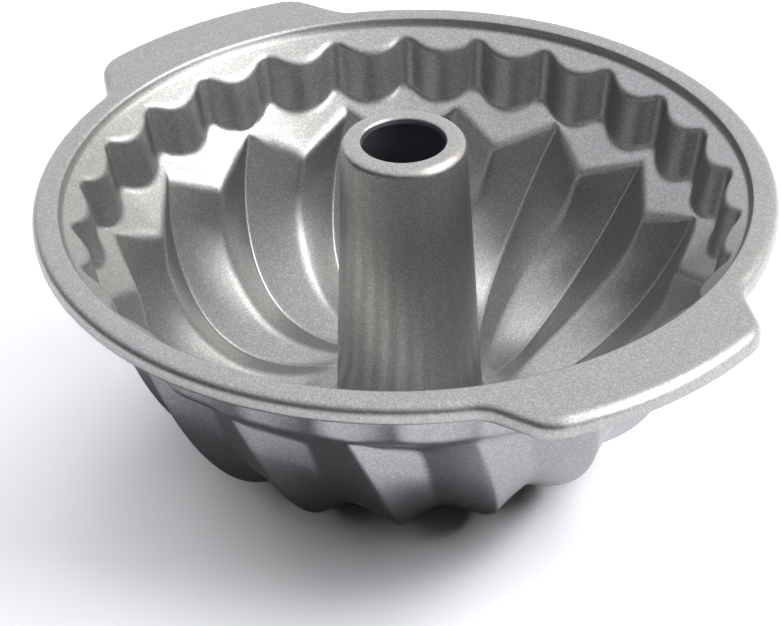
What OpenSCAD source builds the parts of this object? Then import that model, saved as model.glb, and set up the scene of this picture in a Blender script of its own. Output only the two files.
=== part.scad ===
// Fluted tube pan: a ring cake mould drawn from one sheet, with a tapered tube clinched in its floor.
// The centre line is Z, the table is z = 0, and the two grip lugs lie along X.
// The shell is one sheet: its rolled edge, flange, step, scallops, flutes and floor are lofted through
// rings, once for the face toward the cake and once for the face away from it.

/* [Sheet] */
// Thickness of the drawn sheet
sheet = 1.0; // [0.8:0.1:1.2]
// Height of the foot of the mouth step above the table
crease_z = 98.5; // [90:0.5:106]

/* [Rim] */
// Inside radius of the mouth at the foot of the step
mouth_r = 125; // [120:0.5:128]
// Height of the step from its foot to the top of the flange
step_h = 4.2; // [3.6:0.1:6]
// How far the step's wall leans outward
step_lean = 1.1; // [0.8:0.1:1.4]
// Rounding between the step's wall and the flange
step_round = 1.6; // [1.4:0.1:2]
// Width of the rim outside the mouth, up to its outer edge
flange_w = 11; // [9.5:0.5:14]
// Rounding of the rim's upper edge
edge_round = 3.4; // [2.6:0.1:4]
// Depth of the rim's turned down edge, from the flange to the roll's centre
skirt_h = 6; // [5:0.1:8]
// Outer radius of the roll that closes the edge
roll_r = 2.2; // [1.8:0.1:2.6]

/* [Grip lugs] */
// How far a lug stands out past the rim
lug_out = 17.5; // [13:0.5:22]
// Half of the angle that the outer edge takes up before its corners
lug_half_angle = 14.5; // [12:0.5:17]
// Angle over which a lug's side runs back to the rim
lug_flank_angle = 11.5; // [11:0.5:14]
// Corner radius of a lug
lug_corner_r = 15; // [11:0.5:16]
// Radius of the hollow between a lug and the rim
lug_fillet_r = 13; // [10:0.5:16]

/* [Scalloped band] */
// Number of scallops
scallops = 26; // [22:2:30]
// Width of the shoulder between the step and the scallops' grooves
shoulder_w = 3.2; // [2.5:0.1:4.5]
// Slope of the shoulder below level
shoulder_slope = 34; // [25:1:45]
// How far each scallop stands in toward the centre
scallop_depth = 5; // [3.5:0.1:5.2]
// Height of a groove between two scallops
scallop_h = 21.6; // [18:0.2:26]
// How far a groove leans inward on its way down
scallop_lean = 3.8; // [2.5:0.1:5]
// Share of each scallop's length that is taken up by the hollow groove
groove_share = 0.26; // [0.18:0.02:0.4]

/* [Flutes] */
// Number of flutes
flutes = 16; // [12:2:20]
// Slope of the ledge under the scallops, below level
ledge_slope = 41; // [34:1:46]
// Width of the ledge at a crease of the flutes
crease_ledge_w = 5.8; // [5.4:0.1:8]
// Width of the ledge at a ridge of the flutes
ridge_ledge_w = 17.8; // [15:0.2:20]
// Place of a ridge between two creases, as an angle from the first
ridge_angle = 12.5; // [10:0.5:13.5]
// Lean of the creases at their upper end
crease_lean = 7.6; // [5:0.2:10]
// Length of the creases' steep upper part
crease_drop = 36; // [30:1:42]
// Reach of the creases' flat lower part
crease_reach = 49.3; // [42:1:54]
// Sag of the creases below the floor
crease_sag = 11.7; // [10.4:0.1:12.4]
// Lean of the ridges at their upper end
ridge_lean = 1.8; // [0:0.2:4]
// Length of the ridges' steep upper part
ridge_drop = 38.5; // [32:1:44]
// Reach of the ridges' flat lower part
ridge_reach = 27.2; // [22:1:32]
// Sag of the ridges below the floor
ridge_sag = 1.2; // [0:0.2:2]
// Swing of the creases round the pan over their upper part
crease_swing = 10.5; // [6:0.5:14]
// Return of the creases near the floor
crease_return = 16.8; // [12:0.2:20]
// Swing of the ridges round the pan over their upper part
ridge_swing = 8.4; // [4:0.2:12]
// Return of the ridges near the floor
ridge_return = 18.8; // [14:0.2:22]
// Half width of the pressed land along a crease, at its upper end
land_w = 0.7; // [0.4:0.1:1.2]
// Half width of the same land at the floor, where the pan stands on it
land_foot_w = 1.6; // [1.2:0.1:2.4]
// Share of each side of a ridge that is rounded over, at its upper end
ridge_round = 0.08; // [0.04:0.02:0.2]
// Share of each side of a ridge that is rounded over at the floor
ridge_foot_round = 0.24; // [0.1:0.02:0.4]

/* [Floor] */
// Radius of the flat floor ring, where the flutes end
floor_r = 38.4; // [36:0.2:42]
// Height of the floor's upper face above the table
floor_z = 2.6; // [2.5:0.1:3.4]

/* [Centre tube] */
// Height of the tube above the table
tube_top_z = 121.1; // [112:0.5:128]
// Outer radius of the tube at its upper end
tube_top_r = 22.9; // [21:0.1:24]
// Outer radius of the tube at the floor
tube_foot_r = 28.4; // [26:0.1:30]
// Thickness of the tube's sheet
tube_sheet = 1.0; // [0.8:0.1:1.2]
// Radius of the hole in the tube's top
vent_r = 15.4; // [13:0.1:17]
// Depth of the lip turned down round the hole
vent_lip = 3.2; // [2.6:0.1:4.5]
// Rounding of the tube's shoulder
tube_round = 3.6; // [2.5:0.1:4.5]
// Rounding of the lip round the hole
vent_round = 1.5; // [1.3:0.1:1.8]
// How far the foot bead stands out past the tube
foot_out = 2.4; // [2:0.1:3]
// Height of the foot bead above the floor
foot_h = 1.6; // [1.4:0.1:2.2]
// How far the clinched edge reaches out under the floor
clinch_out = 2.0; // [1.4:0.1:2.6]
// Clearance between the tube's foot and the floor
foot_gap = 0.05; // [0.02:0.01:0.1]

/* [Hidden] */
$fn = 180;
// Counts of the loft: outline points, ring points and segments of the roundings
lug_n = 4;
corner_n = 5;
rim_n = 30;
mouth_n = scallops * 4;
per_scallop = 10;
band_n = scallops * per_scallop;
bend = 4;
flute_n = flutes * (bend + 2);
roll_n = 3;
edge_n = 4;
// Heights and radii that follow from the sizes above
rim_z = crease_z + step_h;
rim_r = mouth_r + flange_w;
lug_r = rim_r + lug_out;
mouth_top_r = mouth_r + step_lean;
plate_in = mouth_top_r + step_round;
groove_top_r = mouth_r - shoulder_w;
groove_foot_r = groove_top_r - scallop_lean;
shoulder_t = tan(shoulder_slope);
ledge_t = tan(ledge_slope);
groove_foot_z = crease_z - shoulder_w * shoulder_t - scallop_h;
crease_r0 = groove_foot_r - crease_ledge_w;
ridge_r0 = groove_foot_r - ridge_ledge_w;
pitch = 360 / flutes;
hole_r = tube_foot_r - tube_sheet + foot_gap;

// Places of the loft's rows along the flutes, closer where the creases stand on the table
row_s = [for (i = [0:7]) i * 0.11, 0.86, 0.915, 1];

// Curves and directions
function unit(v) = v / norm(v);
function bez(a, b, c, d, s) =
    a * pow(1 - s, 3) + 3 * b * s * pow(1 - s, 2) + 3 * c * s * s * (1 - s) + d * pow(s, 3);
function dbez(a, b, c, d, s) =
    (b - a) * pow(1 - s, 2) + 2 * (c - b) * s * (1 - s) + (d - c) * s * s;
// Points of an arc in a section
function arc(c, r, a0, a1, n) =
    [for (i = [0:n]) let (a = a0 + (a1 - a0) * i / n) c + r * [cos(a), sin(a)]];
// A section's point, turned round the centre line
function at(p, a) = [p[0] * cos(a), p[0] * sin(a), p[1]];
// The side of the sheet that faces away from the cake, for a line that runs down the wall
function outside(d) = unit([-d[1], d[0]]);
function mitre(n, m) = (n + m) / (1 + n * m);

// Outline of the rim with its two lugs. Each entry is a point and the direction that it faces
lug_foot_angle = lug_half_angle + lug_flank_angle;
fillet_c = (rim_r + lug_fillet_r) * [cos(lug_foot_angle), sin(lug_foot_angle)];
corner_c = (lug_r - lug_corner_r) * [cos(lug_half_angle), sin(lug_half_angle)];
span = fillet_c - corner_c;
// Direction that a lug's straight side faces
flank = atan2(span[1], span[0]) - acos((lug_corner_r + lug_fillet_r) / norm(span));
function run(c, r, a0, a1, n, last, turn) = [
    for (i = [0:n - 1 + last])
        let (a = a0 + (a1 - a0) * i / n, p = c + r * [cos(a), sin(a)])
        [[p[0] * cos(turn) - p[1] * sin(turn), p[0] * sin(turn) + p[1] * cos(turn)], a + turn]
];
function under(c) = [c[0], -c[1]];
outline = [
    for (h = [0, 180]) each concat(
        run([0, 0], lug_r, 0, lug_half_angle, lug_n, 0, h),
        run(corner_c, lug_corner_r, lug_half_angle, flank, corner_n, 1, h),
        run(fillet_c, -lug_fillet_r, flank, lug_foot_angle, corner_n, 0, h),
        run([0, 0], rim_r, lug_foot_angle, 180 - lug_foot_angle, rim_n, 0, h),
        run(under(fillet_c), -lug_fillet_r, -lug_foot_angle, -flank, corner_n, 1, h + 180),
        run(under(corner_c), lug_corner_r, -flank, -lug_half_angle, corner_n, 0, h + 180),
        run([0, 0], lug_r, -lug_half_angle, 0, lug_n, 0, h + 180)
    )
];
edge_count = len(outline);

// Rings of the rolled edge. In a section, x runs inward from the outline and y is the height
function edge_ring(p) = [
    for (e = outline) [e[0][0] - p[0] * cos(e[1]), e[0][1] - p[0] * sin(e[1]), p[1]]
];
function edge_line(out) = concat(
    arc([roll_r, rim_z - skirt_h], roll_r - out, 0, -180, roll_n),
    arc([edge_round, rim_z - edge_round], edge_round - out, 180, 90, edge_n)
);

// Rings of the step in the mouth
wall_out = outside([-step_lean, step_round - step_h]);
shoulder_out = outside([-1, -shoulder_t]);
function circle_ring(p) = [for (i = [0:mouth_n - 1]) at(p, i * 360 / mouth_n)];
function step_line(out) = concat(
    arc([plate_in, rim_z - step_round], step_round - out, 90, 180, 3),
    [[mouth_r, crease_z] + out * mitre(wall_out, shoulder_out)]
);

// Rings at the upper and lower ends of the scallops
ledge_out = outside([-1, -ledge_t]);
groove_out = outside([-scallop_lean, -scallop_h]);
// Each scallop is an arc that bulges toward the centre, and meets the arcs of the grooves beside it
half_scallop = PI * groove_foot_r / scallops;
scallop_tilt = 2 * atan(scallop_depth / half_scallop);
bulge_r = half_scallop * (1 - groove_share) / sin(scallop_tilt);
groove_r = half_scallop * groove_share / sin(scallop_tilt);
function wave(a) =
    let (turns = a * scallops / 360, x = 2 * half_scallop * abs(turns - round(turns)))
    x < bulge_r * sin(scallop_tilt) ? scallop_depth - bulge_r + sqrt(bulge_r * bulge_r - x * x)
    : groove_r - sqrt(groove_r * groove_r - pow(half_scallop - x, 2));
function top_line(r) = [r, crease_z - (mouth_r - r) * shoulder_t];
function foot_line(r) = [r, groove_foot_z - (groove_foot_r - r) * ledge_t];
function band_top(out) = [
    for (i = [0:band_n - 1])
        let (a = i * 360 / band_n)
        at(top_line(groove_top_r - wave(a)) + out * mitre(shoulder_out, groove_out), a)
];
function band_foot(out) = [
    for (i = [0:band_n - 1])
        let (a = i * 360 / band_n)
        at(foot_line(groove_foot_r - wave(a)) + out * mitre(groove_out, ledge_out), a)
];

// Flutes. Creases are their outermost lines, and ridges are the ones nearest the cake's middle
function crease_path(s) = [
    bez(crease_r0, crease_r0 - crease_lean, floor_r + crease_reach, floor_r, s),
    bez(foot_line(crease_r0)[1], foot_line(crease_r0)[1] - crease_drop, floor_z - crease_sag, floor_z, s)
];
function crease_dir(s) = [
    dbez(crease_r0, crease_r0 - crease_lean, floor_r + crease_reach, floor_r, s),
    dbez(foot_line(crease_r0)[1], foot_line(crease_r0)[1] - crease_drop, floor_z - crease_sag, floor_z, s)
];
function ridge_path(s) = [
    bez(ridge_r0, ridge_r0 - ridge_lean, floor_r + ridge_reach, floor_r, s),
    bez(foot_line(ridge_r0)[1], foot_line(ridge_r0)[1] - ridge_drop, floor_z - ridge_sag, floor_z, s)
];
function ridge_dir(s) = [
    dbez(ridge_r0, ridge_r0 - ridge_lean, floor_r + ridge_reach, floor_r, s),
    dbez(foot_line(ridge_r0)[1], foot_line(ridge_r0)[1] - ridge_drop, floor_z - ridge_sag, floor_z, s)
];
function swing(s, a, b) = a * s * (2 - s) - b * pow(s, 6);
// Offset to the face away from the cake, with a mitre at the ledge and at the floor
function skin(d, s, out) =
    out == 0 ? [0, 0]
    : s == 0 ? out * mitre(ledge_out, outside(d))
    : s == 1 ? out * mitre([0, -1], outside(d))
    : out * 1.1 * outside(d);
function crease_at(s, k, out) =
    at(crease_path(s) + skin(crease_dir(s), s, out), k * pitch + swing(s, crease_swing, crease_return));
function ridge_at(s, k, out) =
    at(ridge_path(s) + skin(ridge_dir(s), s, out),
       k * pitch + ridge_angle + swing(s, ridge_swing, ridge_return));
// The creases are pressed flat where they meet the table
function settle(p, out) = [p[0], p[1], max(p[2], sheet - out)];
function flute_ring(s, out) = [
    for (k = [0:flutes - 1])
        let (v = crease_at(s, k, out), m = ridge_at(s, k, out), w = crease_at(s, k + 1, out),
             share = ridge_round + (ridge_foot_round - ridge_round) * s,
             a = m + (v - m) * share, b = m + (w - m) * share,
             land = land_w + (land_foot_w - land_w) * s * s * s)
        for (j = [0:bend + 1])
            let (t = (j - 1) / (bend - 1))
            j == 0 ? settle(v + unit(m - v) * land, out)
            : j == bend + 1 ? settle(w + unit(m - w) * land, out)
            : a * (1 - t) * (1 - t) + 2 * m * t * (1 - t) + b * t * t
];

// Joins two closed rings by their angles; each corner of the strip is an index of the point list
function angle_of(p) = let (a = atan2(p[1], p[0])) a < -5 ? a + 360 : a;
function angles(ring) = [for (i = [0:len(ring)]) angle_of(ring[i % len(ring)]) + (i == len(ring) ? 360 : 0)];
function strip(ra, a0, rb, b0) =
    let (aa = angles(ra), ab = angles(rb), na = len(ra), nb = len(rb))
    [for (i = 0, j = 0, go = aa[1] <= ab[1];
          i + j < na + nb;
          ni = go ? i + 1 : i, nj = go ? j : j + 1, i = ni, j = nj,
          go = j >= nb || (i < na && aa[i + 1] <= ab[j + 1]))
        go ? [a0 + i % na, a0 + (i + 1) % na, b0 + j % nb]
        : [a0 + i % na, b0 + (j + 1) % nb, b0 + j % nb]];
// The same for two rings with equal counts whose points belong together
function band(a0, b0, n) = [
    for (i = [0:n - 1])
        let (j = (i + 1) % n)
        each [[a0 + i, a0 + j, b0 + j], [a0 + i, b0 + j, b0 + i]]
];
function join(ra, a0, rb, b0) = len(ra) == len(rb) ? band(a0, b0, len(ra)) : strip(ra, a0, rb, b0);
function flip(f) = [for (t = f) [t[2], t[1], t[0]]];
function sum_to(v, n) = n == 0 ? 0 : v[n - 1] + sum_to(v, n - 1);

// Rings of one face of the sheet, from the roll's free end to the floor
function face_rings(out) = concat(
    [for (p = edge_line(out)) edge_ring(p)],
    [for (p = step_line(out)) circle_ring(p)],
    [band_top(out), band_foot(out)],
    [for (s = row_s) flute_ring(s, out)]
);

module drawn_sheet() {
    upper = face_rings(0);
    lower = face_rings(sheet);
    rings = concat(upper, lower);
    n = len(upper);
    count = [for (r = rings) len(r)];
    first = [for (i = [0:len(rings)]) sum_to(count, i)];
    up = [for (i = [0:n - 2]) each join(rings[i], first[i], rings[i + 1], first[i + 1])];
    down = [for (i = [n:2 * n - 2]) each join(rings[i], first[i], rings[i + 1], first[i + 1])];
    floor_up = [for (i = [0:flute_n - 1]) first[n - 1] + flute_n - 1 - i];
    floor_down = [for (i = [0:flute_n - 1]) first[2 * n - 1] + i];
    polyhedron(
        points = [for (r = rings) each r],
        faces = concat(flip(up), down, band(first[0], first[n], edge_count), [floor_up, floor_down]),
        convexity = 10
    );
}

module pan_shell() color("silver") {
    difference() {
        drawn_sheet();
        translate([0, 0, floor_z - 2 * sheet]) cylinder(r = hole_r, h = 3 * sheet);
    }
}

// Half section of the tube: lip, shoulder, tapered wall, folded foot bead and clinched edge
module centre_tube() color("gainsboro") {
    lean = (tube_foot_r - tube_top_r) / (tube_top_z - floor_z);
    wall_r = function(z) tube_foot_r - lean * (z - floor_z);
    zs = tube_top_z - tube_round;
    rs = wall_r(zs) - tube_round;
    zv = tube_top_z - vent_round;
    bead_z = floor_z + foot_gap;
    bead_top = bead_z + foot_h;
    collar_z = floor_z - sheet - foot_gap;
    collar_r = tube_foot_r - tube_sheet;
    rotate_extrude() polygon(concat(
        [[vent_r, tube_top_z - vent_lip]],
        arc([vent_r + vent_round, zv], vent_round, 180, 90, 5),
        arc([rs, zs], tube_round, 90, 0, 8),
        [
            [wall_r(bead_top), bead_top],
            [tube_foot_r + foot_out - 0.4, bead_z + foot_h * 0.7],
            [tube_foot_r + foot_out, bead_z + foot_h * 0.35],
            [tube_foot_r + foot_out - 0.2, bead_z],
            [collar_r, bead_z],
            [collar_r, collar_z],
            [tube_foot_r + clinch_out, collar_z],
            [tube_foot_r + clinch_out, collar_z - tube_sheet],
            [collar_r, collar_z - tube_sheet],
            [collar_r - tube_sheet, collar_z],
            [collar_r - tube_sheet, bead_z],
            [wall_r(bead_top) - tube_sheet, bead_top]
        ],
        arc([rs, zs], tube_round - tube_sheet, 0, 90, 8),
        arc([vent_r + vent_round, zv], vent_round - tube_sheet, 90, 180, 5),
        [[vent_r + tube_sheet, tube_top_z - vent_lip]]
    ));
}

pan_shell();
centre_tube();
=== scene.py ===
"""Fluted tube pan, dressed over its CAD frame: the drawn shell, the centre tube and their studio."""

import math

import bpy
import numpy as np
from bpy.props import FloatProperty, FloatVectorProperty, IntProperty, PointerProperty
from mathutils import Matrix, Vector


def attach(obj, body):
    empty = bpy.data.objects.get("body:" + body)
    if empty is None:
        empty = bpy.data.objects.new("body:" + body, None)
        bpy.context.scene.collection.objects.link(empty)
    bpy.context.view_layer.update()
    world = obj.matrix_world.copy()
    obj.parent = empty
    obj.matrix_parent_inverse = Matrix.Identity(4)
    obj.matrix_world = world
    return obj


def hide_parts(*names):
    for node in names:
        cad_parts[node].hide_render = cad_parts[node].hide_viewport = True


bl_info = {
    "name": "Fluted Tube Pan",
    "version": (1, 0, 0),
    "blender": (4, 5, 0),
    "location": "3D Viewport > Sidebar > Tube Pan",
    "description": "Builds a fluted tube pan with its finishes and studio",
    "category": "Object",
}

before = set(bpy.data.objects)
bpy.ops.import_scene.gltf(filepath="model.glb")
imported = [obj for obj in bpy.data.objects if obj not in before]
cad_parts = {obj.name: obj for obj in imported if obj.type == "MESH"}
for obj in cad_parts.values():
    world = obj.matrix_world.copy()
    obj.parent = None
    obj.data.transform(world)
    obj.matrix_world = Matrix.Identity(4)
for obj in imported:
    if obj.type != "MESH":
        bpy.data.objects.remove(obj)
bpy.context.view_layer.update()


# Points of the rim's outline, on each arc of a quarter of it

LUG_POINTS = 60
CORNER_POINTS = 160
RIM_POINTS = 240

# Steps round each flute: up either side, over the ridge and through the crease

SIDE_STEPS = 12
RIDGE_STEPS = 9
CREASE_STEPS = 6

# Steps down the shell's section, and how many of the flutes' rings the blend of the crests replaces

ROLL_STEPS = 8
EDGE_STEPS = 6
STEP_TOP_STEPS = 4
STEP_FOOT_STEPS = 2
SHOULDER_STEPS = 6
LEDGE_STEPS = 5
CREST_STEPS = 7
FLUTE_RINGS = 31
BLENDED_RINGS = 4

# Steps round the tube and down its section

TUBE_SIDES = 192
VENT_STEPS = 8
TUBE_TOP_STEPS = 12
WALL_RINGS = 24
BEAD_STEPS = 10
COLLAR_RINGS = 14
SLANT_RINGS = 7
CLINCH_STEPS = 6

# Points along each side of the studio's floor and round the painted shadow card

FLOOR_POINTS = 9
SHADOW_CARD_SIDES = 48

# Places of single rings, as shares of the way across

FLANGE_RINGS = (0.08, 0.5, 0.92)
FLOOR_RINGS = (0.12, 0.5, 1.0)
LIP_RING = 0.75

# Rows of faces on the vent's lip that belong to the tube's dull inside

DULL_LIP_ROWS = 2

# The most of a line that a blend may take, and the least turn between two points of the rim's outline

BLEND_LIMIT = 0.46
LEAST_TURN = 1e-7

# How much paler the metal is painted over the three points of a crease: a painted highlight along each
# crease

PAINTED_CREASE_GLINT = (0.4, 1.0, 0.4)

# Lamps: name, place, size, power in watts, and whether the metal mirrors it

LAMPS = (
    ("Side panel", (1.12, -0.05, 1.08), (1.2, 1.4), 12.5, True),
    ("Right front panel", (1.2, -0.7, 0.75), (0.8, 0.8), 7.0, True),
    ("Low back lamp", (0.99, 1.72, 0.24), (1.6, 1.6), 64.0, False),
    ("Right lamp", (1.56, 0.57, 1.12), (0.7, 0.7), 24.0, False),
    ("Right front lamp", (1.26, -0.46, 1.49), (0.7, 0.7), 13.0, False),
    ("Top lamp", (-0.32, -0.27, 1.96), (1.6, 1.6), 10.0, False),
    ("Left lamp", (-1.26, -0.46, 1.49), (1.6, 1.6), 8.0, False),
    ("Left back lamp", (-1.03, 0.86, 1.49), (1.6, 1.6), 10.0, False),
)
LAMP_AIM = Vector((0, 0, 0.05))

# Directions that the room's two ramps of light follow, with the stretch over which each rises

TO_THE_RIGHT = (Vector((1, 0, 0)), -0.7, 0.7)
UP_BACK_AND_RIGHT = (Vector((0.42, 0.45, 0.79)), -0.25, 0.38)

# Layers of the grain: their scales, their shares in tone and gloss, and how sparse the bright specks are,
# with the share of the painted highlight along the creases

FINE_DETAIL = 1.5
BROAD_SCALE = 26.0
BROAD_DETAIL = 2.0
FLAKE_TONE = 0.8
BROAD_TONE = 0.1
# Share of the painted highlight along the creases, which is no layer of the grain
PAINTED_CREASE_TONE = 0.4
BROAD_GLOSS = 0.3
SPECK_POWER = 3.0
SPECK_MIDDLE = 0.25

# Stretch of the soft unevenness: none, or along lines down the tube

EVEN = (1, 1, 1)
DRAWN_DOWN = (3, 3, 0.7)


# Settings


def length(name, description, default):
    """A length in metres."""
    return FloatProperty(name=name, description=description, default=default, unit="LENGTH", precision=5)


def angle(name, description, degrees):
    """An angle, written in degrees and kept in radians."""
    return FloatProperty(name=name, description=description, default=math.radians(degrees), subtype="ANGLE")


def factor(name, description, default):
    """A plain number."""
    return FloatProperty(name=name, description=description, default=default, precision=3)


def count(name, description, default):
    """A whole number of 2 or more."""
    return IntProperty(name=name, description=description, default=default, min=2)


def colour(name, description, default):
    """A linear colour, which may be brighter than white."""
    return FloatVectorProperty(name=name, description=description, default=default, subtype="COLOR", min=0)


class ShellSettings(bpy.types.PropertyGroup):
    """Sizes of the drawn shell."""

    sheet: length("Sheet", "Thickness of the drawn sheet", 0.001)
    crease_z: length("Step foot height", "Height of the foot of the mouth's step above the table", 0.0985)
    mouth_r: length("Mouth radius", "Inside radius of the mouth at the foot of its step", 0.125)
    step_h: length("Step height", "Height of the step up to the flange", 0.0042)
    step_lean: length("Step lean", "How far the step's wall leans outward", 0.0011)
    step_round: length("Step rounding", "Rounding between the step and the flange", 0.0016)
    step_foot_round: length("Step foot blend", "Blend from the step into the shoulder", 0.0008)
    flange_w: length("Rim width", "Width of the rim outside the mouth", 0.011)
    edge_round: length("Edge rounding", "Rounding of the rim's upper edge", 0.0043)
    skirt_h: length("Skirt depth", "Depth from the flange to the roll's centre", 0.006)
    roll_r: length("Roll radius", "Outer radius of the roll that closes the edge", 0.0022)
    lug_out: length("Lug reach", "How far a lug stands out past the rim", 0.0175)
    lug_half: angle("Lug half angle", "Half of the angle of a lug's outer edge", 14.5)
    lug_flank: angle("Lug side angle", "Angle over which a lug's side runs back to the rim", 11.5)
    lug_corner_r: length("Lug corner radius", "Corner radius of a lug", 0.015)
    lug_fillet_r: length("Lug hollow radius", "Radius of the hollow between a lug and the rim", 0.013)
    scallops: count("Scallops", "Number of scallops round the band", 26)
    shoulder_w: length("Shoulder width", "Width of the shoulder at the scallops' grooves", 0.0032)
    shoulder_slope: angle("Shoulder slope", "Slope of the shoulder below level", 34)
    scallop_depth: length("Scallop depth", "How far each scallop stands in", 0.005)
    scallop_h: length("Scallop height", "Height of a groove between two scallops", 0.0216)
    scallop_lean: length("Scallop lean", "How far a groove leans inward on its way down", 0.0038)
    groove_share: factor("Groove share", "Share of each scallop's length that its groove takes up", 0.26)
    flutes: count("Flutes", "Number of flutes", 16)
    ledge_slope: angle("Ledge slope", "Slope of the ledge under the scallops", 41)
    crease_ledge_w: length("Crease ledge", "Width of the ledge at a crease", 0.0058)
    ridge_ledge_w: length("Ridge ledge", "Width of the ledge at a ridge", 0.0178)
    ridge_angle: angle("Ridge angle", "Place of a ridge after its crease", 12.5)
    crease_lean: length("Crease lean", "Lean of the creases at their upper end", 0.0076)
    crease_drop: length("Crease drop", "Length of the creases' steep upper part", 0.036)
    crease_reach: length("Crease reach", "Reach of the creases' flat lower part", 0.0493)
    crease_sag: length("Crease sag", "Sag of the creases below the floor", 0.0117)
    ridge_lean: length("Ridge lean", "Lean of the ridges at their upper end", 0.0018)
    ridge_drop: length("Ridge drop", "Length of the ridges' steep upper part", 0.0385)
    ridge_reach: length("Ridge reach", "Reach of the ridges' flat lower part", 0.0272)
    ridge_sag: length("Ridge sag", "Sag of the ridges below the floor", 0.0012)
    crease_swing: angle("Crease swing", "Swing of the creases round the pan", 10.5)
    crease_return: angle("Crease return", "Return of the creases near the floor", 16.8)
    ridge_swing: angle("Ridge swing", "Swing of the ridges round the pan", 8.4)
    ridge_return: angle("Ridge return", "Return of the ridges near the floor", 18.8)
    land_w: length("Crease land", "Half width of the land along a crease at its top", 0.0007)
    land_foot_w: length("Crease foot land", "Half width of the same land at the floor", 0.0016)
    ridge_round: factor("Ridge rounding", "Share of a ridge's sides that is rounded over at its top", 0.08)
    ridge_foot_round: factor("Ridge foot rounding", "The same share at the floor", 0.24)
    shoulder_round: length("Shoulder blend", "Blend from the shoulder into the scallops", 0.0026)
    ledge_round: length("Ledge blend", "Blend from the scallops into the ledge", 0.0026)
    crest_round: length("Crest blend", "Blend from the ledge over into a flute", 0.0045)
    floor_r: length("Floor radius", "Radius at which the flutes end on the floor", 0.0384)
    floor_z: length("Floor height", "Height of the floor's upper face", 0.0026)
    hole_r: length("Floor hole radius", "Radius of the hole that takes the tube", 0.02745)


class TubeSettings(bpy.types.PropertyGroup):
    """Sizes of the centre tube."""

    top_z: length("Tube height", "Height of the tube's top above the table", 0.1211)
    top_r: length("Tube top radius", "Outer radius at the upper end", 0.0229)
    foot_r: length("Tube foot radius", "Outer radius at the floor", 0.0284)
    sheet: length("Tube sheet", "Thickness of the tube's sheet", 0.001)
    vent_r: length("Vent radius", "Radius of the hole in the top", 0.0154)
    vent_lip: length("Vent lip", "Depth of the lip round the hole", 0.0032)
    shoulder_round: length("Tube shoulder", "Rounding of the tube's shoulder", 0.0036)
    vent_round: length("Vent rounding", "Rounding of the lip round the hole", 0.0015)
    foot_out: length("Foot bead", "How far the foot bead stands out", 0.0024)
    foot_h: length("Foot bead height", "Height of the foot bead", 0.0016)
    clinch_out: length("Clinched edge", "Reach of the clinched edge under the floor", 0.002)
    foot_gap: length("Foot clearance", "Clearance between the tube's foot and the floor", 0.00005)
    vent_margin: length("Vent margin", "Width of the first ring of the flat top round the lip", 0.0002)
    top_margin: length("Top margin", "Width of the last ring of the flat top before the shoulder", 0.0003)
    wall_margin: length("Wall margin", "Height of the wall's first ring below the shoulder", 0.001)
    bead_margin: length("Bead margin", "Height of the wall's last ring above the bead", 0.0012)
    clinch_margin: length("Clinch margin", "Width of the clinched edge's last ring", 0.0002)
    clinch_slant: length("Clinch slant", "Depth at which the clinched edge starts to turn out", 0.0004)


class FinishSettings(bpy.types.PropertyGroup):
    """Colours and grain of the metal finishes."""

    shell_colour: colour("Shell colour", "Colour of the satin coat toward the cake", (0.385, 0.382, 0.377))
    outer_colour: colour("Outer colour", "Colour of the cooler coat on the outside", (0.372, 0.374, 0.383))
    inside_colour: colour("Inside colour", "Colour of the tube's dull inside", (0.34, 0.345, 0.39))
    tube_colour: colour("Tube colour", "Colour of the tube's satin coat", (0.418, 0.409, 0.4))
    shell_roughness: factor("Shell roughness", "Roughness of the shell's metal", 0.36)
    tube_roughness: factor("Tube roughness", "Roughness of the tube's metal", 0.33)
    inside_roughness: factor("Inside roughness", "Roughness of the tube's dull inside", 0.55)
    grain_size: length("Grain size", "Size of the finish's metallic grains", 0.00045)
    grain_depth: length("Grain depth", "Height of the grain's relief", 0.00006)
    grain_strength: factor("Grain strength", "How strongly the relief shades the metal", 0.62)
    tone_spread: factor("Tone spread", "How far the grains differ in tone", 0.55)
    gloss_spread: factor("Gloss spread", "How far the grains differ in gloss", 0.05)


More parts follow.
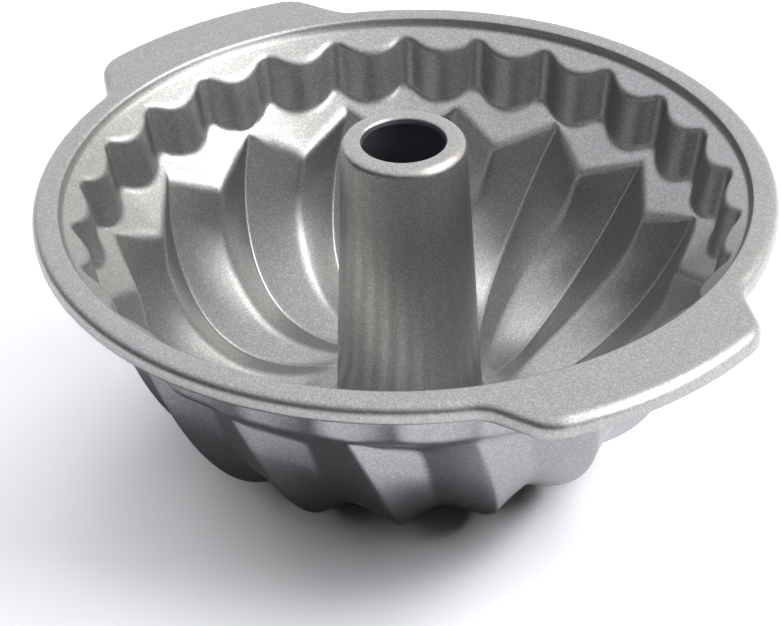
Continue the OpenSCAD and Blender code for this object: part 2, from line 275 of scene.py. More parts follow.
class StudioSettings(bpy.types.PropertyGroup):
    """Camera, light and floor."""

    turn: angle("View turn", "Turn of the view about the pan's centre line", 56.2)
    distance: length("Camera distance", "Distance from the camera to the mouth's centre", 0.9221)
    elevation: angle("Camera elevation", "Height of the camera above level, as an angle", 32.293)
    yaw: angle("Camera yaw", "Turn of the camera to the side", 0.397)
    pitch: angle("Camera pitch", "Tilt of the camera", -2.7473)
    roll: angle("Camera roll", "Roll of the camera", 1.4421)
    lens: FloatProperty(name="Lens", description="Focal length on the sensor", default=115.87, unit="CAMERA")
    sensor: FloatProperty(name="Sensor", description="Width of the sensor", default=36.0, unit="CAMERA")
    floor_half: length("Floor half width", "Half of the width of the studio floor", 0.9)
    floor_drop: length("Floor drop", "Depth of the studio floor below the pan", 0.0001)
    floor_colour: colour("Floor colour", "Colour of the floor where it lights the pan", (0.3, 0.3, 0.3))
    bright_floor: colour("Bright floor", "Colour of the floor as seen or mirrored", (1.285, 1.29, 1.34))
    # A dark card of painted shadow, which the metal alone mirrors under the pan's left side
    shadow_card_r: length("Card radius", "Radius of the dark card under the pan's left side", 0.097)
    shadow_card_left: length("Card to the left", "How far the card lies to the left", 0.055)
    shadow_card_near: length("Card toward the camera", "How far the card lies toward the camera", 0.05)
    painted_shadow_colour: colour("Painted shadow colour", "Colour of the dark card", (0.24, 0.24, 0.26))
    room_left: colour("Room left", "Light of the room at the left", (1.16, 1.19, 1.25))
    room_right: colour("Room right", "Light of the room at the right", (1.25, 1.23, 1.2))
    room_near: colour("Room near", "Light of the room on the camera's side", (0.09, 0.096, 0.105))
    room_fill: colour("Room fill", "Light of the room that falls on things", (0.02, 0.02, 0.02))
    background: colour("Background", "Colour behind the pan", (1.0, 1.0, 1.0))


# Mesh helpers


def unit(v):
    """v scaled to length 1 along its last axis."""
    return v / np.linalg.norm(v, axis=-1, keepdims=True)


def bez(a, b, c, d, s):
    """A cubic curve through a and d with handles b and c."""
    return a * (1 - s) ** 3 + 3 * b * s * (1 - s) ** 2 + 3 * c * s * s * (1 - s) + d * s**3


def bow(a, b, c, t):
    """A curve from a to c that sets out toward b and arrives from it."""
    return a * (1 - t) ** 2 + 2 * b * t * (1 - t) + c * t * t


def arc(cx, cy, r, a0, a1, n):
    """n + 1 points of an arc in a section, with its angles in degrees."""
    a = np.radians(np.linspace(a0, a1, n + 1))
    return np.stack([cx + r * np.cos(a), cy + r * np.sin(a)], 1)


def spin(r, z, a):
    """Points at radius, height and azimuth."""
    return np.stack([r * np.cos(a), r * np.sin(a), z + 0 * a], -1)


def rounded(a, b, c, cut, n):
    """The corner at b of the lines a-b-c, replaced by n + 1 points of a blend that starts cut from it."""
    la, lc = np.linalg.norm(a - b, axis=-1), np.linalg.norm(c - b, axis=-1)
    k = np.minimum(cut, BLEND_LIMIT * np.minimum(la, lc))[..., None]
    p, q = b + unit(a - b) * k, b + unit(c - b) * k
    return [bow(p, b, q, t) for t in np.linspace(0, 1, n + 1)]


def grid_normals(rows):
    """Normals of a grid that closes round its columns."""
    along = np.gradient(rows, axis=0)
    round_it = np.roll(rows, -1, 1) - np.roll(rows, 1, 1)
    return unit(np.cross(round_it, along))


def closed_sheet(name, outside, inside):
    """A closed mesh object between two grids of equal size, whose columns run round the centre line."""
    rows, cols = outside.shape[:2]
    verts = np.concatenate([outside.reshape(-1, 3), inside.reshape(-1, 3)])
    base = rows * cols
    r, c = np.meshgrid(np.arange(rows - 1), np.arange(cols), indexing="ij")
    d = (c + 1) % cols
    quad = np.stack([r * cols + c, r * cols + d, (r + 1) * cols + d, (r + 1) * cols + c], -1).reshape(-1, 4)
    c, d = c[0], d[0]
    first = np.stack([c, base + c, base + d, d], -1)
    last = np.stack([c, d, base + d, base + c], -1) + (rows - 1) * cols
    faces = np.concatenate([quad[:, ::-1], quad + base, first[:, ::-1], last[:, ::-1]])
    mesh = bpy.data.meshes.new(name)
    mesh.vertices.add(len(verts))
    mesh.vertices.foreach_set("co", verts.astype(np.float32).ravel())
    mesh.loops.add(faces.size)
    mesh.loops.foreach_set("vertex_index", faces.astype(np.int32).ravel())
    mesh.polygons.add(len(faces))
    mesh.polygons.foreach_set("loop_start", np.arange(0, faces.size, 4, dtype=np.int32))
    mesh.polygons.foreach_set("use_smooth", np.ones(len(faces), bool))
    mesh.update(calc_edges=True)
    mesh.validate()
    obj = bpy.data.objects.new(name, mesh)
    bpy.context.scene.collection.objects.link(obj)
    return obj


# Shape of the shell


def rim_outline(p, azimuths):
    """Points of the rim's outline at the given azimuths, and the directions that they face."""
    foot = p.lug_half + p.lug_flank
    rim_r = p.mouth_r + p.flange_w
    lug_r = rim_r + p.lug_out
    fillet = (rim_r + p.lug_fillet_r) * np.array([math.cos(foot), math.sin(foot)])
    corner = (lug_r - p.lug_corner_r) * np.array([math.cos(p.lug_half), math.sin(p.lug_half)])
    span = fillet - corner
    reach = p.lug_corner_r + p.lug_fillet_r
    flank = math.atan2(span[1], span[0]) - math.acos(reach / np.linalg.norm(span))

    def run(c, r, a0, a1, n):
        """n points of an arc about c, each with the angle that it faces."""
        a = np.linspace(a0, a1, n)
        return np.stack([c[0] + r * np.cos(a), c[1] + r * np.sin(a), a], 1)

    quarter = np.concatenate([
        run((0, 0), lug_r, 0, p.lug_half, LUG_POINTS),
        run(corner, p.lug_corner_r, p.lug_half, flank, CORNER_POINTS),
        run(fillet, -p.lug_fillet_r, flank, foot, CORNER_POINTS),
        run((0, 0), rim_r, foot, math.pi / 2, RIM_POINTS),
    ])
    other = quarter[::-1] * [-1, 1, -1] + [0, 0, math.pi]
    half = np.concatenate([quarter, other])
    whole = np.concatenate([half, half * [-1, -1, 1] + [0, 0, math.pi]])
    at = np.unwrap(np.arctan2(whole[:, 1], whole[:, 0]))
    keep = np.concatenate([[True], np.diff(at) > LEAST_TURN])
    at, whole = at[keep], whole[keep]
    at = np.concatenate([at - 2 * math.pi, at, at + 2 * math.pi])
    whole = np.concatenate([whole - [0, 0, 2 * math.pi], whole, whole + [0, 0, 2 * math.pi]])
    x, y, a = (np.interp(azimuths, at, whole[:, i]) for i in range(3))
    return np.stack([x, y], 1), np.stack([np.cos(a), np.sin(a)], 1)


def groove_foot(p):
    """Radius and height of the foot of a groove between two scallops."""
    radius = p.mouth_r - p.shoulder_w - p.scallop_lean
    height = p.crease_z - p.shoulder_w * math.tan(p.shoulder_slope) - p.scallop_h
    return radius, height


def flute_rows(p, places):
    """One ring of points for each place along the flutes, from the ledge at 0 to the floor at 1."""
    groove_r, groove_z = groove_foot(p)
    crease_r, ridge_r = groove_r - p.crease_ledge_w, groove_r - p.ridge_ledge_w
    crease_z = groove_z - p.crease_ledge_w * math.tan(p.ledge_slope)
    ridge_z = groove_z - p.ridge_ledge_w * math.tan(p.ledge_slope)
    pitch = 2 * math.pi / p.flutes
    start = np.arange(p.flutes) * pitch
    steps = (SIDE_STEPS, RIDGE_STEPS, CREASE_STEPS)
    side, over, through = (np.linspace(0, 1, n, endpoint=False) for n in steps)
    rings = []
    for s in places:
        # The swing eases out on the way down, and the return comes only near the floor.
        swing = s * (2 - s)
        crease_a = start + p.crease_swing * swing - p.crease_return * s**6
        ridge_a = start + p.ridge_angle + p.ridge_swing * swing - p.ridge_return * s**6
        cr = bez(crease_r, crease_r - p.crease_lean, p.floor_r + p.crease_reach, p.floor_r, s)
        cz = bez(crease_z, crease_z - p.crease_drop, p.floor_z - p.crease_sag, p.floor_z, s)
        rr = bez(ridge_r, ridge_r - p.ridge_lean, p.floor_r + p.ridge_reach, p.floor_r, s)
        rz = bez(ridge_z, ridge_z - p.ridge_drop, p.floor_z - p.ridge_sag, p.floor_z, s)
        crease, after = spin(cr, cz, crease_a), spin(cr, cz, crease_a + pitch)
        ridge = spin(rr, rz, ridge_a)
        land = p.land_w + (p.land_foot_w - p.land_w) * s**3
        near, far = crease + unit(ridge - crease) * land, after + unit(ridge - after) * land
        share = p.ridge_round + (p.ridge_foot_round - p.ridge_round) * s
        a, b = ridge + (crease - ridge) * share, ridge + (after - ridge) * share
        following = np.roll(near, -1, 0)
        dip = (far + following) / 4 + after / 2
        ring = [near + (a - near) * t for t in side]
        ring += [bow(a, ridge, b, t) for t in over]
        ring += [b + (far - b) * t for t in side]
        ring += [bow(far, dip, following, t) for t in through]
        ring = np.stack(ring, 1).reshape(-1, 3)
        ring[:, 2] = np.maximum(ring[:, 2], p.sheet)
        rings.append(ring)
    return rings


def scallop_wave(p, azimuths):
    """How far the scallops stand in: arcs that bulge toward the centre, with the grooves' arcs between."""
    half = math.pi * groove_foot(p)[0] / p.scallops
    tilt = 2 * math.atan(p.scallop_depth / half)
    bulge, groove = half * (1 - p.groove_share) / math.sin(tilt), half * p.groove_share / math.sin(tilt)
    turns = azimuths * p.scallops / (2 * math.pi)
    x = 2 * half * np.abs(turns - np.round(turns))
    inner = p.scallop_depth - bulge + np.sqrt(np.maximum(bulge**2 - x**2, 0))
    outer = groove - np.sqrt(np.maximum(groove**2 - (half - x) ** 2, 0))
    return np.where(x < bulge * math.sin(tilt), inner, outer)


def rim_rows(p, azimuth):
    """Rings from the roll's free end over the edge and the flange down to the step's wall."""
    rim_z = p.crease_z + p.step_h
    plate_r = p.mouth_r + p.step_lean + p.step_round
    outline, facing = rim_outline(p, azimuth)

    def edge(x, z):
        """A ring x inside the rim's outline."""
        flat = outline - facing * x
        return np.column_stack([flat, np.full(len(flat), z)])

    roll = arc(p.roll_r, rim_z - p.skirt_h, p.roll_r, 0, -180, ROLL_STEPS)
    corner = arc(p.edge_round, rim_z - p.edge_round, p.edge_round, 180, 90, EDGE_STEPS)
    mouth = arc(plate_r, rim_z - p.step_round, p.step_round, 90, 180, STEP_TOP_STEPS)
    inner_edge, mouth_edge = edge(p.edge_round, rim_z), spin(plate_r, rim_z, azimuth)
    rows = [edge(x, z) for x, z in (*roll, *corner)]
    rows += [inner_edge + (mouth_edge - inner_edge) * t for t in FLANGE_RINGS]
    rows += [spin(r, z, azimuth) for r, z in mouth]
    return rows


def band_rows(p, azimuth, star, below):
    """Rings from the step's foot over the shoulder, the scallops, the ledge and the star of crests."""
    wave = scallop_wave(p, azimuth)
    slope, ledge = math.tan(p.shoulder_slope), math.tan(p.ledge_slope)
    groove_r, groove_z = groove_foot(p)
    top_r, foot_r = p.mouth_r - p.shoulder_w - wave, groove_r - wave
    wall = spin(p.mouth_r + p.step_lean, p.crease_z + p.step_h - p.step_round, azimuth)
    step = spin(p.mouth_r, p.crease_z, azimuth)
    upper = spin(top_r, p.crease_z - (p.mouth_r - top_r) * slope, azimuth)
    lower = spin(foot_r, groove_z - (groove_r - foot_r) * ledge, azimuth)
    middle = (upper + lower) / 2
    rows = rounded(wall, step, upper, p.step_foot_round, STEP_FOOT_STEPS)
    rows += rounded(step, upper, lower, p.shoulder_round, SHOULDER_STEPS)
    rows.append(middle)
    rows += rounded(middle, lower, star, p.ledge_round, LEDGE_STEPS)
    rows += rounded(lower, star, below, p.crest_round, CREST_STEPS)
    return rows


def shell_rows(p):
    """The face toward the cake, as rings from the roll to the hole, and the starts of band and flutes."""
    flutes = flute_rows(p, np.linspace(0, 1, FLUTE_RINGS))
    star, last = flutes[0], flutes[-1]
    turn = np.unwrap(np.arctan2(star[:, 1], star[:, 0]))
    step_angle = 2 * math.pi / len(star)
    azimuth = np.arange(len(star)) * step_angle
    azimuth += np.round((turn - azimuth).mean() / step_angle) * step_angle
    rim, band = rim_rows(p, azimuth), band_rows(p, azimuth, star, flutes[BLENDED_RINGS])
    hole = spin(p.hole_r, p.floor_z, np.arctan2(last[:, 1], last[:, 0]))
    floor = [last + (hole - last) * t for t in FLOOR_RINGS]
    rows = np.stack(rim + band + flutes[BLENDED_RINGS:] + floor)
    return rows, len(rim), len(rim) + len(band)


# Shape of the tube


def tube_lines(t, p):
    """The tube's outer and inner section lines, of equal length, from the vent's lip to the clinch."""
    lean = (t.foot_r - t.top_r) / (t.top_z - p.floor_z)
    tip = math.degrees(math.atan(lean))

    def wall(z):
        """Outer radius at a height."""
        return t.foot_r - lean * (z - p.floor_z)

    shoulder_z, vent_z = t.top_z - t.shoulder_round, t.top_z - t.vent_round
    shoulder_r, lip_r = wall(shoulder_z) - t.shoulder_round, t.vent_r + t.vent_round
    bead, collar = p.floor_z + t.foot_gap, p.floor_z - p.sheet - t.foot_gap
    bead_top = bead + t.foot_h
    bead_r, half_bead = t.foot_r + t.foot_out, t.foot_h / 2
    collar_r, clinch_r, half_sheet = t.foot_r - t.sheet, t.foot_r + t.clinch_out, t.sheet / 2
    heights = np.linspace(shoulder_z - t.wall_margin, bead_top + t.bead_margin, WALL_RINGS)

    def upper(inset):
        """The lip, the flat top, the shoulder and the wall, set in from the outside."""
        return np.concatenate([
            [(t.vent_r + inset, t.top_z - t.vent_lip * share) for share in (1, LIP_RING)],
            arc(lip_r, vent_z, t.vent_round - inset, 180, 90, VENT_STEPS),
            [(lip_r + t.vent_margin, t.top_z - inset), (shoulder_r - t.top_margin, t.top_z - inset)],
            arc(shoulder_r, shoulder_z, t.shoulder_round - inset, 90, tip, TUBE_TOP_STEPS),
            [(wall(z) - inset, z) for z in (*heights, bead_top)],
        ])

    outside = np.concatenate([
        upper(0),
        arc(bead_r - half_bead, bead + half_bead, half_bead, 90, -90, BEAD_STEPS),
        [(collar_r, bead), (collar_r, collar), (clinch_r - t.clinch_margin, collar)],
        arc(clinch_r - half_sheet, collar - half_sheet, half_sheet, 90, -90, CLINCH_STEPS),
    ])
    bore_r = collar_r - t.sheet
    inside = np.concatenate([
        upper(t.sheet),
        np.linspace((bore_r, bead), (bore_r, collar), COLLAR_RINGS),
        np.linspace((bore_r, collar - t.clinch_slant), (collar_r, collar - t.sheet), SLANT_RINGS),
    ])
    spare = len(outside) - len(inside)
    return outside, np.concatenate([inside, np.repeat(inside[-1:], spare, 0)])


# Materials


def new_material(name):
    """An empty node material and its output node."""
    mat = bpy.data.materials.new(name)
    mat.use_nodes = True
    tree = mat.node_tree
    tree.nodes.clear()
    return mat, tree, tree.nodes.new("ShaderNodeOutputMaterial")


def math_node(tree, operation, a, b):
    """The result of a math operation on a and b, each a socket or a number."""
    node = tree.nodes.new("ShaderNodeMath")
    node.operation = operation
    for socket, value in zip(node.inputs, (a, b)):
        if isinstance(value, bpy.types.NodeSocket):
            tree.links.new(value, socket)
        else:
            socket.default_value = value
    return node.outputs[0]


def grain_group():
    """Grain of the metal, and a painted highlight: fine flakes that differ a little in tone, gloss and lie,
    over soft unevenness, with the tone painted paler along the creases that it is given.
    """
    if "Metallic grain and crease highlight" in bpy.data.node_groups:
        return bpy.data.node_groups["Metallic grain and crease highlight"]
    group = bpy.data.node_groups.new("Metallic grain and crease highlight", "ShaderNodeTree")
    for name, kind, value in (
        ("Colour", "NodeSocketColor", (0.6, 0.6, 0.6, 1)),
        ("Roughness", "NodeSocketFloat", 0.36),
        ("Grain Scale", "NodeSocketFloat", 2200.0),
        ("Tone Spread", "NodeSocketFloat", 0.1),
        ("Gloss Spread", "NodeSocketFloat", 0.1),
        ("Stretch", "NodeSocketVector", (1, 1, 1)),
        ("Crease", "NodeSocketFloat", 0.0),
    ):
        group.interface.new_socket(name, in_out="INPUT", socket_type=kind).default_value = value
    for name, kind in (("Colour", "Color"), ("Roughness", "Float"), ("Height", "Float")):
        group.interface.new_socket(name, in_out="OUTPUT", socket_type="NodeSocket" + kind)
    nodes, link = group.nodes, group.links.new
    given, out = nodes.new("NodeGroupInput"), nodes.new("NodeGroupOutput")
    coord = nodes.new("ShaderNodeTexCoord")
    fine = nodes.new("ShaderNodeTexNoise")
    fine.inputs["Detail"].default_value = FINE_DETAIL
    flake = nodes.new("ShaderNodeTexVoronoi")
    broad = nodes.new("ShaderNodeTexNoise")
    broad.inputs["Scale"].default_value = BROAD_SCALE
    broad.inputs["Detail"].default_value = BROAD_DETAIL
    stretched = nodes.new("ShaderNodeVectorMath")
    stretched.operation = "MULTIPLY"
    link(coord.outputs["Object"], stretched.inputs[0])
    link(given.outputs["Stretch"], stretched.inputs[1])
    link(stretched.outputs[0], broad.inputs["Vector"])
    for texture in (fine, flake):
        link(coord.outputs["Object"], texture.inputs["Vector"])
        link(given.outputs["Grain Scale"], texture.inputs["Scale"])

    def added(a, b, share):
        """a with a share of b on top."""
        return math_node(group, "ADD", math_node(group, "MULTIPLY", b, share), a)

    def centred(value, middle, spread):
        """value with its middle moved to 0, scaled by the group's input spread."""
        moved = math_node(group, "SUBTRACT", value, middle)
        return math_node(group, "MULTIPLY", moved, given.outputs[spread])

    separate = nodes.new("ShaderNodeSeparateColor")
    link(flake.outputs["Color"], separate.inputs[0])
    speck = math_node(group, "POWER", separate.outputs[0], SPECK_POWER)
    tone = centred(fine.outputs[0], 0.5, "Tone Spread")
    tone = added(tone, centred(speck, SPECK_MIDDLE, "Tone Spread"), FLAKE_TONE)
    tone = added(tone, centred(broad.outputs[0], 0.5, "Tone Spread"), BROAD_TONE)
    # Painted highlight: the tone is raised along the creases that the mesh marks.
    tone = added(tone, given.outputs["Crease"], PAINTED_CREASE_TONE)
    tinted = nodes.new("ShaderNodeVectorMath")
    tinted.operation = "SCALE"
    link(given.outputs["Colour"], tinted.inputs[0])
    link(math_node(group, "ADD", tone, 1.0), tinted.inputs["Scale"])
    gloss = centred(separate.outputs[1], 0.5, "Gloss Spread")
    gloss = added(gloss, centred(broad.outputs[0], 0.5, "Gloss Spread"), BROAD_GLOSS)
    gloss = math_node(group, "ADD", gloss, given.outputs["Roughness"])
    link(tinted.outputs[0], out.inputs["Colour"])
    link(gloss, out.inputs["Roughness"])
    link(fine.outputs[0], out.inputs["Height"])
    return group


def metal(name, finish, base, roughness, stretch):
    """Satin metal with metallic grain, and a highlight painted paler on the creases that the mesh marks."""
    mat, tree, out = new_material(name)
    look = tree.nodes.new("ShaderNodeGroup")
    look.node_tree = grain_group()
    look.inputs["Colour"].default_value = (*base, 1)
    look.inputs["Roughness"].default_value = roughness
    look.inputs["Grain Scale"].default_value = 1 / finish.grain_size
    look.inputs["Tone Spread"].default_value = finish.tone_spread
    look.inputs["Gloss Spread"].default_value = finish.gloss_spread
    look.inputs["Stretch"].default_value = stretch
    # The attribute crease carries the painted highlight along the creases.
    crease = tree.nodes.new("ShaderNodeAttribute")
    crease.attribute_name = "crease"
    shader = tree.nodes.new("ShaderNodeBsdfPrincipled")
    shader.inputs["Metallic"].default_value = 1.0
    bump = tree.nodes.new("ShaderNodeBump")
    bump.inputs["Strength"].default_value = finish.grain_strength
    bump.inputs["Distance"].default_value = finish.grain_depth
    link = tree.links.new
    link(crease.outputs["Fac"], look.inputs["Crease"])
    link(look.outputs["Colour"], shader.inputs["Base Color"])
    link(look.outputs["Roughness"], shader.inputs["Roughness"])
    link(look.outputs["Height"], bump.inputs["Height"])
    link(bump.outputs["Normal"], shader.inputs["Normal"])
    link(shader.outputs[0], out.inputs["Surface"])
    return mat


def dull_metal(name, base, roughness):
    """Plain dull metal."""
    mat, tree, out = new_material(name)
    shader = tree.nodes.new("ShaderNodeBsdfPrincipled")
    shader.inputs["Metallic"].default_value = 1.0
    shader.inputs["Base Color"].default_value = (*base, 1)
    shader.inputs["Roughness"].default_value = roughness
    tree.links.new(shader.outputs[0], out.inputs["Surface"])
    return mat


def seen_or_mirrored(tree):
    """1 for what the camera sees, straight or in a metal face, and 0 for light that falls on things."""
    path = tree.nodes.new("ShaderNodeLightPath")
    value = path.outputs["Is Camera Ray"]
    for name in ("Is Glossy Ray", "Is Transmission Ray"):
        value = math_node(tree, "MAXIMUM", value, path.outputs[name])
    straight = math_node(tree, "LESS_THAN", path.outputs["Diffuse Depth"], 0.5)
    return math_node(tree, "MULTIPLY", value, straight)


def mixed(tree, share, a, b):
    """The colour a at a share of 0 and b at 1, each a socket or a plain colour."""
    node = tree.nodes.new("ShaderNodeMix")
    node.data_type = "RGBA"
    node.clamp_result = False
    tree.links.new(share, node.inputs["Factor"])
    for socket, value in (("A", a), ("B", b)):
        if isinstance(value, bpy.types.NodeSocket):
            tree.links.new(value, node.inputs[socket])
        else:
            node.inputs[socket].default_value = (*value, 1)
    return node.outputs["Result"]


def matt_object(name, verts, faces, material):
    """A mesh object of the studio, with the node tree and the shader of its matt material."""
    mesh = bpy.data.meshes.new(name)
    mesh.from_pydata(verts, [], faces)
    obj = bpy.data.objects.new(name, mesh)
    bpy.context.scene.collection.objects.link(obj)
    mat, tree, out = new_material(material)
    diffuse = tree.nodes.new("ShaderNodeBsdfDiffuse")
    tree.links.new(diffuse.outputs[0], out.inputs["Surface"])
    mesh.materials.append(mat)
    return obj, tree, diffuse


# Operators


class TUBEPAN_OT_shell(bpy.types.Operator):
    """Build the drawn shell with its rolled rim and two lugs"""

    bl_idname = "tubepan.shell"
    bl_label = "Pan Shell"

    def execute(self, context):
        p, finish = context.scene.tubepan_shell, context.scene.tubepan_finish
        inside, band_start, flute_start = shell_rows(p)
        outside = inside - grid_normals(inside) * p.sheet
        outside[..., 2] = np.maximum(outside[..., 2], 0)
        shell = closed_sheet("fluted_shell", outside, inside)
        # The inner coat shows the painted highlight along the creases.
        coats = (("Satin inner coat with crease highlight", finish.shell_colour), ("Satin outer coat", finish.outer_colour))
        for name, base in coats:
            shell.data.materials.append(metal(name, finish, base, finish.shell_roughness, EVEN))
        rings, points = size = inside.shape[:2]
        coat = np.zeros(len(shell.data.polygons), np.int32)
        coat[band_start * points:(rings - 1) * points] = 1
        shell.data.polygons.foreach_set("material_index", coat)
        # Paint a highlight along the creases of the inner face.
        self.paint_crease_highlights(shell, p.flutes, size, flute_start)
        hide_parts("pan_shell")
        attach(shell, "root")
        return {"FINISHED"}

    def paint_crease_highlights(self, shell, flutes, size, flute_start):
        """Store how close each point of the inner face lies to a crease, as the attribute crease, which
        paints a highlight along the creases.
        """
        painted_glint = np.zeros(size, np.float32)
        flute = size[1] // flutes
        for column, value in enumerate(PAINTED_CREASE_GLINT, flute - CREASE_STEPS // 2 - 1):
            painted_glint[flute_start:-len(FLOOR_RINGS), column::flute] = value
        attribute = shell.data.attributes.new("crease", "FLOAT", "POINT")
        attribute.data.foreach_set("value", np.concatenate([0 * painted_glint.ravel(), painted_glint.ravel()]))


class TUBEPAN_OT_tube(bpy.types.Operator):
    """Build the tapered centre tube with its turned-in top and clinched foot"""

    bl_idname = "tubepan.tube"
    bl_label = "Centre Tube"

    def execute(self, context):
        settings, finish = context.scene.tubepan_tube, context.scene.tubepan_finish
        lines = tube_lines(settings, context.scene.tubepan_shell)
        around = np.linspace(0, 2 * math.pi, TUBE_SIDES, endpoint=False)
        outside, inside = (np.stack([spin(r, z, around) for r, z in line]) for line in lines)
        tube = closed_sheet("tapered_tube", outside, inside)
        satin = metal("Satin tube metal", finish, finish.tube_colour, finish.tube_roughness, DRAWN_DOWN)
        dull = dull_metal("Dull metal inside the tube", finish.inside_colour, finish.inside_roughness)
        for mat in (satin, dull):
            tube.data.materials.append(mat)
        quads = (len(outside) - 1) * TUBE_SIDES
        within = np.zeros(len(tube.data.polygons), np.int32)
        within[quads:2 * quads] = 1
        within[:DULL_LIP_ROWS * TUBE_SIDES] = 1
        tube.data.polygons.foreach_set("material_index", within)
        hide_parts("centre_tube")
        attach(tube, "root")
        return {"FINISHED"}


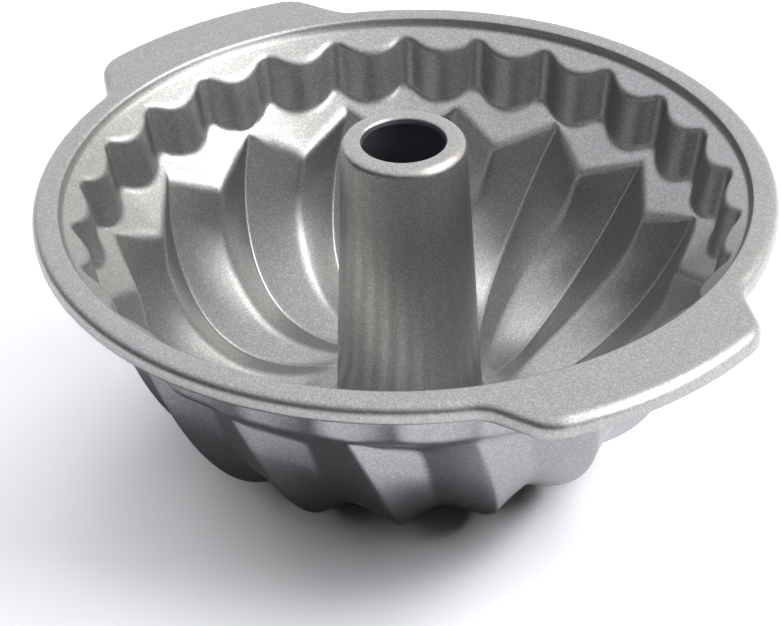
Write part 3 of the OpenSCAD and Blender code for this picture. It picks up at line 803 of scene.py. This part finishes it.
class TUBEPAN_OT_studio(bpy.types.Operator):
    """Set the pale floor, the soft studio light and the camera"""

    bl_idname = "tubepan.studio"
    bl_label = "Studio"

    def execute(self, context):
        p = context.scene.tubepan_studio
        turn = Matrix.Rotation(p.turn, 4, "Z")
        self.floor(p, turn)
        self.card(p, turn)
        self.lamps(turn)
        self.world(context, p, turn)
        self.camera(context, p, turn)
        context.scene.view_settings.view_transform = "Standard"
        return {"FINISHED"}

    def floor(self, p, turn):
        """A wide smooth floor that keeps the pan's shadow."""
        n = FLOOR_POINTS
        steps = np.linspace(-p.floor_half, p.floor_half, n)
        verts = [turn @ Vector((x, y, -p.floor_drop)) for y in steps for x in steps]
        corners = (i * n + j for i in range(n - 1) for j in range(n - 1))
        faces = [(c, c + 1, c + n + 1, c + n) for c in corners]
        floor, tree, diffuse = matt_object("studio_floor", verts, faces, "Pale studio floor")
        tone = mixed(tree, seen_or_mirrored(tree), p.floor_colour, p.bright_floor)
        tree.links.new(tone, diffuse.inputs["Color"])

    def card(self, p, turn):
        """A dark card of painted shadow on the floor at the pan's left foot, which shows in the metal alone
        as a painted reflection of shade.
        """
        around = np.linspace(0, 2 * math.pi, SHADOW_CARD_SIDES, endpoint=False)
        middle = Vector((-p.shadow_card_left, -p.shadow_card_near, -p.floor_drop / 2))
        verts = [turn @ (middle + p.shadow_card_r * Vector((math.cos(a), math.sin(a), 0))) for a in around]
        card, _, diffuse = matt_object("painted_shadow_sheet", verts, [tuple(range(SHADOW_CARD_SIDES))], "Painted shadow sheet")
        # Painted shadow: hidden from the camera, from light and from shadows, so it only darkens what the
        # metal mirrors.
        card.visible_camera = card.visible_diffuse = card.visible_shadow = False
        diffuse.inputs["Color"].default_value = (*p.painted_shadow_colour, 1)

    def lamps(self, turn):
        """Soft panels that the metal mirrors, and soft lamps from behind and above that light the floor."""
        for name, at, size, power, glossy in LAMPS:
            data = bpy.data.lights.new(name, "AREA")
            data.shape, data.size, data.size_y, data.energy = "RECTANGLE", *size, power
            lamp = bpy.data.objects.new(name, data)
            lamp.visible_glossy, lamp.visible_diffuse = glossy, not glossy
            place = turn @ Vector(at)
            aim = (LAMP_AIM - place).to_track_quat("-Z", "Y")
            lamp.matrix_world = Matrix.Translation(place) @ aim.to_matrix().to_4x4()
            bpy.context.scene.collection.objects.link(lamp)

    def world(self, context, p, turn):
        """A white background, and a room that is bright above and behind and dim on the camera's side."""
        world = bpy.data.worlds.new("Studio")
        world.use_nodes = True
        tree = world.node_tree
        tree.nodes.clear()
        coord = tree.nodes.new("ShaderNodeTexCoord")

        def ramp(direction, low, high):
            """0 to 1 along a direction of the room."""
            toward = tree.nodes.new("ShaderNodeVectorMath")
            toward.operation = "DOT_PRODUCT"
            tree.links.new(coord.outputs["Generated"], toward.inputs[0])
            toward.inputs[1].default_value = turn.to_3x3() @ direction
            step = tree.nodes.new("ShaderNodeMapRange")
            step.interpolation_type = "SMOOTHSTEP"
            step.inputs["From Min"].default_value = low
            step.inputs["From Max"].default_value = high
            tree.links.new(toward.outputs["Value"], step.inputs["Value"])
            return step.outputs["Result"]

        bright = mixed(tree, ramp(*TO_THE_RIGHT), p.room_left, p.room_right)
        room = mixed(tree, ramp(*UP_BACK_AND_RIGHT), p.room_near, bright)
        mirrored = mixed(tree, seen_or_mirrored(tree), p.room_fill, room)
        path = tree.nodes.new("ShaderNodeLightPath")
        seen = mixed(tree, path.outputs["Is Camera Ray"], mirrored, p.background)
        back = tree.nodes.new("ShaderNodeBackground")
        tree.links.new(seen, back.inputs["Color"])
        out = tree.nodes.new("ShaderNodeOutputWorld")
        tree.links.new(back.outputs[0], out.inputs["Surface"])
        context.scene.world = world

    def camera(self, context, p, turn):
        """A long lens at the viewing angle of a table-top photograph."""
        aim = Vector((0, 0, context.scene.tubepan_shell.crease_z))
        away = Vector((0, math.cos(p.elevation), -math.sin(p.elevation)))
        right = Vector((1, 0, 0))
        up = right.cross(away)
        place = aim - away * p.distance
        yaw = Matrix.Rotation(p.yaw, 3, up)
        away, right = yaw @ away, yaw @ right
        pitch = Matrix.Rotation(p.pitch, 3, right)
        away, up = pitch @ away, pitch @ up
        roll = Matrix.Rotation(p.roll, 3, away)
        right, up = roll @ right, roll @ up
        facing = Matrix((right, up, -away)).transposed().to_4x4()
        data = bpy.data.cameras.new("Camera")
        data.lens, data.sensor_width, data.sensor_fit = p.lens, p.sensor, "HORIZONTAL"
        data.clip_start = 0.01
        camera = bpy.data.objects.new("Camera", data)
        camera.matrix_world = turn @ Matrix.Translation(place) @ facing
        context.scene.collection.objects.link(camera)
        context.scene.camera = camera


class TUBEPAN_PT_panel(bpy.types.Panel):
    """Lists the pan's pieces and its studio"""

    bl_idname = "TUBEPAN_PT_panel"
    bl_label = "Fluted Tube Pan"
    bl_space_type = "VIEW_3D"
    bl_region_type = "UI"
    bl_category = "Tube Pan"

    def draw(self, context):
        for operator in OPERATORS:
            self.layout.operator(operator.bl_idname)


OPERATORS = (TUBEPAN_OT_shell, TUBEPAN_OT_tube, TUBEPAN_OT_studio)
GROUPS = {
    "tubepan_shell": ShellSettings,
    "tubepan_tube": TubeSettings,
    "tubepan_finish": FinishSettings,
    "tubepan_studio": StudioSettings,
}


def register():
    """Register the settings, operators and panel."""
    for cls in (*GROUPS.values(), *OPERATORS, TUBEPAN_PT_panel):
        bpy.utils.register_class(cls)
    for name, cls in GROUPS.items():
        setattr(bpy.types.Scene, name, PointerProperty(type=cls))


def unregister():
    """Take them out again."""
    for name in GROUPS:
        delattr(bpy.types.Scene, name)
    for cls in (TUBEPAN_PT_panel, *reversed(OPERATORS), *GROUPS.values()):
        bpy.utils.unregister_class(cls)


def main():
    register()
    bpy.ops.tubepan.shell()
    bpy.ops.tubepan.tube()
    bpy.ops.tubepan.studio()


if __name__ == "__main__":
    main()
